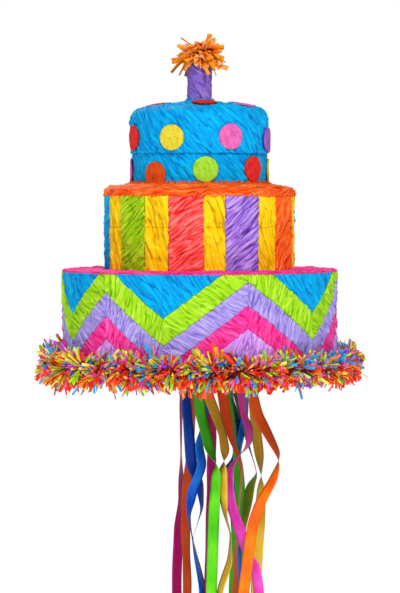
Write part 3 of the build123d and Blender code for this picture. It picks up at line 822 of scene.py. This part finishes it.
def flame():
    """Make the candle's flame from torn paper flakes that burst out of the tube and droop over its rim."""
    random = np.random.default_rng(5)
    centre = (low("flame_shreds") + high("flame_shreds")) / 2
    reach = high("flame_shreds").x
    turn = random.uniform(0, 2 * math.pi, FLAKES)
    lift = random.uniform(-0.6, 0.72, FLAKES)
    level = np.sqrt(1 - np.minimum(np.abs(lift), 0.98) ** 2)
    heads = unit(np.stack([level * np.sin(turn), -level * np.cos(turn), lift], axis=-1))
    roots = np.array([0.0, 0.0, centre.z - 4]) + heads * random.uniform(2, 8, FLAKES)[:, None]
    roots += random.normal(0, 3.0, (FLAKES, 3))
    roots[:, 2] = np.maximum(roots[:, 2], CANDLE_TOP - 3)
    droop = np.array([0.0, 0.0, -0.34])
    bends = random.normal(0, 0.26, (FLAKES, 3)) + droop * random.uniform(0.2, 1.2, FLAKES)[:, None]
    sides = unit(np.cross(heads, [0.0, 0.0, 1.0]) + random.normal(0, 0.45, (FLAKES, 3)))
    lengths = random.uniform(0.4, 0.74, FLAKES) * reach * (0.55 + 0.45 * level)
    widths = random.uniform(3.5, 7.5, FLAKES)
    twists = random.normal(0, 0.6, FLAKES)

    def over_tube(points):
        r = np.hypot(points[:, 0], points[:, 1])
        rim = CANDLE_RADIUS + 1.4
        inside = (r < rim) & (points[:, 2] < CANDLE_TOP + 1)
        scale = np.where(inside, rim / np.maximum(r, 0.5), 1)
        return points * np.stack([scale, scale, np.ones_like(scale)], axis=-1)

    mesh = strip_mesh(roots, heads, bends, sides, lengths, widths, twists, over_tube)
    add_piece("flame_flakes", mesh, "shell", "tissue_flame", flame_paper, "flame_shreds")


# Ribbons

RIBBON_WIDTH = 12.0
RIBBON_THICK = 0.3
LOOP_WIDTH = 10.8             # gathered where it loops over the wire
WIRE_RADIUS = 0.35
LOOP_GAP = 0.07
SMOOTHING = 9                 # rows over which a bend is eased


def tail_rows(x, y, bends, bottom, seed):
    """Return rows of x, y, z, turn and width down one tail, from the staple's crown to the cut end."""
    heights = [CROWN_HEIGHT + WIRE_RADIUS, -10.0] + [z for z, _, _ in bends] + [bottom]
    places = [x, x] + [place for _, place, _ in bends] + [bends[-1][1]]
    turns = [0, 0] + [turn for _, _, turn in bends] + [bends[-1][2]]
    z = np.linspace(heights[0], bottom, round((heights[0] - bottom) / 2.5))
    kernel = np.hanning(SMOOTHING)
    kernel /= kernel.sum()
    pad = SMOOTHING // 2

    def eased(values):
        line = np.interp(-z, [-h for h in heights], values)
        padded = np.concatenate([np.full(pad, line[0]), line, np.full(pad, line[-1])])
        return np.convolve(padded, kernel, "valid")

    fade = smoothstep((-z - 8) / 30)
    sway = fade * 0.8 * noise_along(z / 34, 2, seed)
    turn = eased(turns) + fade * 14 * noise_along(z / 40, 5, seed)
    width = np.where(z > -4, LOOP_WIDTH, RIBBON_WIDTH)
    return np.stack([eased(places), y + sway, z, turn, width], axis=-1)


def ribbon(name):
    """Make one ribbon: it loops over its staple's crown and hangs down in one tail or two."""
    node_low = low(name)
    node_high = high(name)
    y = (node_low.y + node_high.y) / 2
    x = (node_low.x + node_high.x) / 2
    tails = RIBBON_TAILS[name]
    wire = WIRE_RADIUS + LOOP_GAP + RIBBON_THICK / 2
    seed = 900 + len(name)
    main = tail_rows(x, y + wire, tails[0], node_low.z, seed)
    if len(tails) == 2:
        other = tail_rows(x, y - wire, tails[1], node_low.z + 6, seed + 1)
        for tail, way in ((other, -1), (main, 1)):
            tail[:, 1] += way * smoothstep((-tail[:, 2] - 6) / 20) * 2.2
    else:                         # the short end that is tucked behind the tail
        z = np.linspace(main[0, 2], -9, 4)
        end_y = y - wire + 0.2 * (main[0, 2] - z) / 8
        other = np.stack([0 * z + x, end_y, z, 0 * z, 0 * z + LOOP_WIDTH], axis=-1)
    arc = np.radians(np.linspace(-75, 75, 7))
    crown = np.stack([0 * arc + x, y + wire * np.sin(arc), main[0, 2] + wire * np.cos(arc), 0 * arc,
                      0 * arc + LOOP_WIDTH], axis=-1)
    rows = np.concatenate([other[::-1], crown, main])
    centre = rows[:, :3]
    turn = np.radians(rows[:, 3])
    half = rows[:, 4] / 2
    tangent = unit(np.gradient(centre, axis=0))
    side = np.stack([np.cos(turn), np.sin(turn), 0 * turn], axis=-1)
    side = unit(side - tangent * np.sum(side * tangent, axis=-1, keepdims=True))
    normal = np.cross(side, tangent)
    v = np.linspace(-1, 1, 5)
    cup = 0.5 * smoothstep((-centre[:, 2] - 10) / 30) * np.sin(centre[:, 2] / 23 + seed)
    across = centre[:, None] + side[:, None] * (half[:, None] * v)[..., None]
    across = across + normal[:, None] * (cup[:, None] * (1 - v ** 2))[..., None]
    thick = normal[:, None] * RIBBON_THICK / 2
    loop = np.concatenate([across + thick, (across - thick)[:, ::-1]], axis=1)
    count, size = loop.shape[:2]
    index = np.arange(count * size).reshape(count, size)
    faces = band_faces(index[:-1], index[1:], flip=True)
    faces += [index[0][::-1].tolist(), index[-1].tolist()]
    # face is 1 on the ribbon's face and 0 on its back, which the satin paints darker: painted shade.
    face_side = np.broadcast_to(np.repeat([1.0, 0.0], 5), (count, size)).ravel()
    reach = np.cumsum(np.concatenate([[0], np.linalg.norm(np.diff(centre, axis=0), axis=1)]))
    place = np.concatenate([v, v[::-1]]) * RIBBON_WIDTH / 2
    weave = np.stack([np.broadcast_to(place, (count, size)), np.broadcast_to(reach[:, None], (count, size)),
                      np.zeros((count, size))], axis=-1)
    mesh = (loop.reshape(-1, 3), faces, {"face": face_side, "grain": weave.reshape(-1, 3)})
    slot = RIBBON_SLOTS[name.split("_")[1]]
    add_piece(name + "_satin", mesh, name, slot, satin[slot], name)


# Hinge tapes

TAPE = 0.2                    # thickness of the paper tape
TAPE_HALF = 10.0              # reach of the fill flap's tape on each side of its hinge


def tape_strip(name, body, corner, along, across, normal):
    """Make the tape of a body's hinge: one flat, slightly wrinkled sheet that reaches from the shell to the
    body.
    """
    columns = 50
    rows = 25
    u = np.linspace(0, 1, columns)[:, None, None]
    v = np.linspace(0, 1, rows)[None, :, None]
    wrinkle = 0.05 * noise(u * 18, v * 7, 991)
    bottom = corner + along * u + across * v
    grid = np.stack([bottom + normal * (TAPE + wrinkle), bottom])
    index = np.arange(2 * columns * rows).reshape(2, columns, rows)
    faces = []
    for layer, flip in ((0, False), (1, True)):
        quads = np.stack([index[layer, :-1, :-1], index[layer, 1:, :-1], index[layer, 1:, 1:],
                          index[layer, :-1, 1:]], axis=-1).reshape(-1, 4)
        faces += (quads[:, ::-1] if flip else quads).tolist()
    edges = [index[:, :, 0], index[:, -1, 1:], index[:, -2::-1, -1], index[:, 0, -2:0:-1]]
    rim = np.concatenate(edges, axis=1)
    following = np.roll(rim, -1, axis=1)
    faces += np.stack([rim[0], rim[1], following[1], following[0]], axis=-1).tolist()
    points = grid.reshape(-1, 3)
    nodes = (body + "_tape_fixed", body + "_tape_moving")
    piece = add_piece(name, (points, faces, {"grain": points}), None, "tape", tape_paper, *nodes)
    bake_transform(piece)


def trapdoor_tape():
    fixed_low = low("trapdoor_tape_fixed")
    fixed_high = high("trapdoor_tape_fixed")
    moving_low = low("trapdoor_tape_moving")
    corner = np.array([fixed_low.x, moving_low.y, fixed_high.z])
    along = np.array([fixed_high.x - fixed_low.x, 0, 0])
    across = np.array([0, fixed_high.y - moving_low.y, 0])
    down = np.array([0, 0, -1.0])
    tape_strip("trapdoor_hinge_tape", "trapdoor", corner, along, across, down)


def fill_flap_tape():
    bottom = low("fill_flap_tape_fixed").z
    top = high("fill_flap_tape_fixed").z
    radius = MIDDLE_RADIUS + 2.6  # over the crumpled stripes
    turn = math.radians(FLAP_START)
    out = np.array([math.sin(turn), -math.cos(turn), 0])
    onward = np.array([math.cos(turn), math.sin(turn), 0])
    corner = out * radius - onward * TAPE_HALF + np.array([0, 0, bottom])
    up = np.array([0, 0, top - bottom])
    tape_strip("fill_flap_hinge_tape", "fill_flap", corner, onward * 2 * TAPE_HALF, up, out)


# Materials

def linear(colour):
    """Return a colour given as 0 to 255 in linear light."""
    share = np.array(colour, float) / 255
    return np.where(share <= 0.04045, share / 12.92, ((share + 0.055) / 1.055) ** 2.4)


def rgba(colour):
    """Return a linear colour, or a grey given as one number, with full opacity."""
    return (*[float(part) for part in np.clip(np.broadcast_to(colour, 3), 0, 1)], 1.0)


class Shader:
    """A node material under construction."""

    def __init__(self, name, roughness, specular=0.5):
        self.material = bpy.data.materials.new(name)
        self.material.use_nodes = True
        self.tree = self.material.node_tree
        self.main = self.tree.nodes["Principled BSDF"]
        self.main.inputs["Roughness"].default_value = roughness
        self.main.inputs["Specular IOR Level"].default_value = specular

    def node(self, kind, **settings):
        node = self.tree.nodes.new(kind)
        for key, value in settings.items():
            setattr(node, key, value)
        return node

    def link(self, output, target):
        self.tree.links.new(output, target)

    def value(self, name):
        """Return one of the mesh's per-point numbers."""
        return self.node("ShaderNodeAttribute", attribute_name=name).outputs["Fac"]

    def grain(self):
        """Return the mesh's own place along and across its folds or its weave."""
        return self.node("ShaderNodeAttribute", attribute_name="grain").outputs["Vector"]

    def place(self):
        return self.node("ShaderNodeTexCoord").outputs["Object"]

    def ramp(self, factor, stops):
        node = self.node("ShaderNodeValToRGB")
        elements = node.color_ramp.elements
        while len(elements) < len(stops):
            elements.new(0.5)
        for element, (position, colour) in zip(elements, stops):
            element.position = position
            element.color = rgba(colour)
        self.link(factor, node.inputs["Fac"])
        return node.outputs["Color"]

    def noise(self, vector, stretch, detail=3.0):
        mapping = self.node("ShaderNodeMapping")
        mapping.inputs["Scale"].default_value = stretch
        self.link(vector, mapping.inputs["Vector"])
        node = self.node("ShaderNodeTexNoise")
        node.inputs["Scale"].default_value = 1.0
        node.inputs["Detail"].default_value = detail
        self.link(mapping.outputs["Vector"], node.inputs["Vector"])
        return node.outputs["Fac"]

    def mix(self, first, second, factor, blend="MIX"):
        node = self.node("ShaderNodeMix", data_type="RGBA", blend_type=blend)
        if isinstance(factor, float):
            node.inputs["Factor"].default_value = factor
        else:
            self.link(factor, node.inputs["Factor"])
        for name, source in (("A", first), ("B", second)):
            socket = [s for s in node.inputs if s.name == name and s.type == "RGBA"][0]
            if isinstance(source, tuple):
                socket.default_value = source
            else:
                self.link(source, socket)
        return [s for s in node.outputs if s.type == "RGBA"][0]

    def bump(self, height, distance, strength=1.0):
        node = self.node("ShaderNodeBump")
        node.inputs["Strength"].default_value = strength
        node.inputs["Distance"].default_value = distance * MM
        self.link(height, node.inputs["Height"])
        self.link(node.outputs["Normal"], self.main.inputs["Normal"])

    def colour(self, output):
        self.link(output, self.main.inputs["Base Color"])


def tissue_material(name, colour, contrast):
    """Crinkled tissue: painted shade deep in the creases, painted highlights pale on the ridges, with cloudy
    patches and fine lines of painted shadow and painted glint.
    """
    base = linear(colour)
    shader = Shader("tissue_" + name, 0.72, 0.08)
    fold = shader.value("fold")
    grain = shader.grain()
    # deep and dim are shaded copies of the colour, for painted shade in the creases; pale is a lit copy, for
    # painted highlights on the ridges.
    deep = base ** (1 + 0.6 * contrast) * (1 - 0.45 * contrast)
    dim = base ** (1 + 0.3 * contrast) * (1 - 0.15 * contrast)
    pale = base ** (1 - 0.35 * contrast)
    folds = shader.ramp(fold, ((0.04, deep), (0.28, dim), (0.44, base), (0.66, base), (0.9, pale)))
    cloud = shader.noise(grain, (0.06, 0.2, 0.1), 4.0)
    patch = shader.ramp(cloud, ((0.3, dim), (0.5, base), (0.7, pale)))
    colour_out = shader.mix(folds, patch, 0.25)
    # Fine lines: each is a painted shadow of a fold with a painted glint beside it.
    line = shader.noise(grain, (0.02, 0.16, 0.1), 1.5)
    shadow = shader.ramp(line, ((0.45, 0), (0.488, 0.55), (0.5, 0)))
    glint = shader.ramp(line, ((0.5, 0), (0.512, 0.55), (0.55, 0)))
    colour_out = shader.mix(colour_out, rgba(deep), shadow)
    colour_out = shader.mix(colour_out, rgba(pale), glint)
    shader.colour(colour_out)
    fine = shader.noise(grain, (0.28, 1.3, 0.1), 5.0)
    shader.bump(shader.mix(fine, line, 0.3), 1.2, 0.8)
    return shader.material


def dot_material(name, colour):
    """Matt crepe paper with fine parallel crinkles."""
    base = linear(colour)
    shader = Shader("dot_" + name, 0.8, 0.1)
    fold = shader.value("fold")
    grain = shader.grain()
    # The folds ramp gives the dot's shade: random tone, and painted shade in the wrinkles.
    folds = shader.ramp(fold, ((0.0, base ** 1.3 * 0.6), (0.45, base), (1.0, base ** 0.75)))
    fleck = shader.noise(grain, (0.9, 0.35, 1.0), 5.0)
    flecks = shader.ramp(fleck, ((0.35, base ** 1.2 * 0.7), (0.65, base ** 0.85)))
    shader.colour(shader.mix(folds, flecks, 0.5))
    shader.bump(shader.noise(grain, (2.2, 0.5, 1.0), 4.0), 0.4, 0.6)
    return shader.material


def strip_material(name, colour, tip_colour=None):
    """Thin torn paper strips: each strip has its own tint, its tip may have another colour, and painted shade
    darkens it towards its root.
    """
    base = linear(colour)
    shader = Shader(name, 0.6, 0.15)
    tint = shader.value("tint")
    tip = shader.value("tip")
    tints = shader.ramp(tint, ((0.0, base * 0.45), (0.3, base), (0.8, base), (1.0, base ** 0.6)))
    colour_out = tints
    if tip_colour is not None:
        far = linear(tip_colour)
        tips = shader.ramp(tint, ((0.0, far * 0.8), (0.6, far), (1.0, far + 0.2 * (1 - far))))
        share = shader.ramp(tip, ((0.15, 0), (0.75, 1)))
        colour_out = shader.mix(tints, tips, share)
    # Painted shade: each strip darkens towards its root, deep in the garland or in the flame.
    shade = shader.ramp(tip, ((0.08, 0.04), (0.45, 1)))
    colour_out = shader.mix(colour_out, shade, 1.0, "MULTIPLY")
    shader.colour(colour_out)
    place = shader.place()
    shader.bump(shader.noise(place, (900, 900, 900), 3.0), 0.25, 0.4)
    return shader.material


def satin_material(name, colour):
    """Satin ribbon: a bright face and a duller back painted darker as painted shade, painted glints along it,
    painted shade towards grazing angles, and a fine weave.
    """
    base = linear(colour)
    shader = Shader(name, 0.42, 0.22)
    grain = shader.grain()
    face = shader.value("face")
    # The back is a shaded copy of the face's colour: painted shade for its duller sheen.
    sides = shader.ramp(face, ((0.0, base ** 1.3 * 0.5), (1.0, base)))
    # sheen darkens the colour towards grazing angles: painted shade.
    facing = shader.node("ShaderNodeLayerWeight")
    facing.inputs["Blend"].default_value = 0.35
    sheen = shader.ramp(facing.outputs["Facing"], ((0.0, 1), (0.3, 0.8), (0.9, 0.3)))
    # glints are painted highlights and painted shade in patches along the ribbon.
    glint = shader.noise(grain, (0.05, 0.03, 1.0), 2.0)
    glints = shader.ramp(glint, ((0.34, base ** 1.2 * 0.75), (0.5, base), (0.66, base ** 0.7)))
    lit = shader.mix(sides, glints, shader.ramp(face, ((0.0, 0.15), (1.0, 0.7))))
    shader.colour(shader.mix(lit, sheen, 1.0, "MULTIPLY"))
    streak = shader.noise(grain, (1.6, 0.03, 1.0), 3.0)
    rough = shader.ramp(streak, ((0.3, 0.34), (0.7, 0.52)))
    shader.link(rough, shader.main.inputs["Roughness"])
    weave = shader.node("ShaderNodeTexWave", wave_type="BANDS", bands_direction="Y")
    weave.inputs["Scale"].default_value = 1.3
    shader.link(grain, weave.inputs["Vector"])
    shader.bump(weave.outputs["Fac"], 0.04, 0.35)
    return shader.material


def card_material():
    """Brown corrugated card with flute lines, fibres and flecks."""
    base = linear((186, 148, 104))
    shader = Shader("corrugated_card", 0.88)
    place = shader.place()
    fibre = shader.noise(place, (260, 900, 500), 6.0)
    stain = shader.noise(place, (18, 18, 18), 4.0)
    fibres = shader.ramp(fibre, ((0.3, base * 0.78), (0.5, base), (0.72, base * 1.14)))
    stains = shader.ramp(stain, ((0.3, base * 0.86), (0.7, base * 1.06)))
    shader.colour(shader.mix(fibres, stains, 0.45))
    flutes = shader.node("ShaderNodeTexWave", wave_type="BANDS", bands_direction="X")
    flutes.inputs["Scale"].default_value = 45.0
    flutes.inputs["Distortion"].default_value = 0.4
    shader.link(place, flutes.inputs["Vector"])
    shader.bump(flutes.outputs["Fac"], 0.35, 0.5)
    return shader.material


def tape_material():
    """Gummed paper tape with long fibres."""
    base = linear((205, 172, 124))
    shader = Shader("gummed_tape", 0.55)
    place = shader.place()
    fibre = shader.noise(place, (1400, 300, 300), 5.0)
    shader.colour(shader.ramp(fibre, ((0.3, base * 0.8), (0.55, base), (0.75, base * 1.15))))
    shader.bump(fibre, 0.1, 0.4)
    return shader.material


def wire_material():
    """Bright drawn steel wire with fine scratches."""
    shader = Shader("staple_wire", 0.3)
    shader.main.inputs["Metallic"].default_value = 1.0
    place = shader.place()
    scratch = shader.noise(place, (1500, 200, 1500), 4.0)
    shader.colour(shader.ramp(scratch, ((0.3, (0.42, 0.42, 0.44)), (0.7, (0.66, 0.66, 0.68)))))
    shader.link(shader.ramp(scratch, ((0.2, 0.22), (0.8, 0.42))),
                shader.main.inputs["Roughness"])
    return shader.material


def eye_material():
    """White moulded plastic, slightly milky, with faint mould texture."""
    shader = Shader("moulded_eye", 0.42)
    place = shader.place()
    cloud = shader.noise(place, (120, 120, 120), 4.0)
    shader.colour(shader.ramp(cloud, ((0.3, (0.80, 0.80, 0.77)), (0.7, (0.90, 0.90, 0.88)))))
    shader.bump(shader.noise(place, (2500, 2500, 2500), 2.0), 0.03, 0.4)
    return shader.material


def carry_over(material, *nodes):
    """Give CAD nodes that stay in view a procedural material."""
    for name in nodes:
        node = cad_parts[name]
        node.data.materials.clear()
        node.data.materials.append(material)


# Stage

WORLD_LIGHT = 0.36            # what the white surroundings light the piece with
FLOOR_GLOW = 0.68
FLOOR_HALF = 60.0             # metres, as are the other lengths of the stage
FLOOR_LEVEL = -1.15
LIGHTS = (                    # name, place, size and power
    ("key", (0.7, -2.5, 2.3), 0.7, 66),
    ("fill", (-1.8, -2.4, 0.6), 1.6, 12),
    ("back", (-0.8, 2.2, 1.8), 1.6, 40),
)
LIGHT_TARGET = (0, 0, 0.1)
CAMERA_PLACE = (0.0005, -3.0, 0.192)
CAMERA_LENS = 164.3
CAMERA_DIP = 2.25             # degrees below the horizontal


def area_light(name, place, size, power):
    light = bpy.data.lights.new(name, "AREA")
    light.shape = "DISK"
    light.size = size
    light.energy = power
    lamp = bpy.data.objects.new(name, light)
    lamp.location = place
    aim = Vector(np.array(LIGHT_TARGET) - np.array(place))
    lamp.rotation_euler = aim.to_track_quat("-Z", "Y").to_euler()
    bpy.context.scene.collection.objects.link(lamp)


def stage():
    """Set the floor, the light and the camera."""
    scene = bpy.context.scene
    scene.view_settings.view_transform = "Standard"
    world = bpy.data.worlds.new("studio")
    scene.world = world
    world.use_nodes = True
    tree = world.node_tree
    tree.nodes["Background"].inputs["Color"].default_value = (1, 1, 1, 1)
    rays = tree.nodes.new("ShaderNodeLightPath")
    strength = tree.nodes.new("ShaderNodeMapRange")
    strength.inputs["To Min"].default_value = WORLD_LIGHT
    strength.inputs["To Max"].default_value = 1.0
    tree.links.new(rays.outputs["Is Camera Ray"], strength.inputs["Value"])
    tree.links.new(strength.outputs["Result"], tree.nodes["Background"].inputs["Strength"])
    floor_mesh = bpy.data.meshes.new("floor")
    corners = [(FLOOR_HALF * x, FLOOR_HALF * y, FLOOR_LEVEL) for x, y in ((-1, -1), (1, -1), (1, 1), (-1, 1))]
    floor_mesh.from_pydata(corners, [], [(0, 1, 2, 3)])
    floor = bpy.data.objects.new("floor", floor_mesh)
    scene.collection.objects.link(floor)
    paint = Shader("floor_paint", 0.9)
    cloud = paint.noise(paint.place(), (3, 3, 3), 2.0)
    paint.colour(paint.ramp(cloud, ((0.3, 0.90), (0.7, 0.93))))
    paint.main.inputs["Emission Color"].default_value = (1, 1, 1, 1)
    paint.main.inputs["Emission Strength"].default_value = FLOOR_GLOW
    floor.data.materials.append(paint.material)
    for light in LIGHTS:
        area_light(*light)
    camera_data = bpy.data.cameras.new("camera")
    camera_data.lens = CAMERA_LENS
    camera = bpy.data.objects.new("camera", camera_data)
    camera.location = CAMERA_PLACE
    camera.rotation_euler = (math.radians(90 - CAMERA_DIP), 0, 0)
    scene.collection.objects.link(camera)
    scene.camera = camera


tissue = {name: tissue_material(name, *look) for name, look in TISSUE_COLOURS.items()}
dot_paper = {name: dot_material(name, colour) for name, colour in DOT_PAINTS.items()}
strip_paper = {name: strip_material(name, colour) for name, (colour, _, _) in FRINGE_COLOURS.items()}
flame_paper = strip_material("flame_paper", (255, 84, 10), (255, 158, 26))
satin = {name: satin_material(name, colour) for name, colour in SATIN_COLOURS.items()}
tape_paper = tape_material()

chevrons()
bottom_ledge()
stripes()
middle_ledge()
top_band()
top_cover()
dots()
candle_wrap()
flame()
fringe()
fringe_core()
for ribbon_name in RIBBON_TAILS:
    ribbon(ribbon_name)
trapdoor_tape()
fill_flap_tape()
carry_over(card_material(), "base_panel", "bottom_tier_wall", "bottom_tier_top", "middle_tier_wall",
           "middle_tier_top", "top_tier_wall", "top_tier_lid", "candle_tube", "eye_anchor_disc",
           "fill_flap_panel", "trapdoor_panel")
carry_over(tape_paper, "fill_flap_pull_tab", "trapdoor_seal_tab")
carry_over(wire_material(), "ribbon_staples", "release_staple")
carry_over(eye_material(), "hanging_eye")
stage()
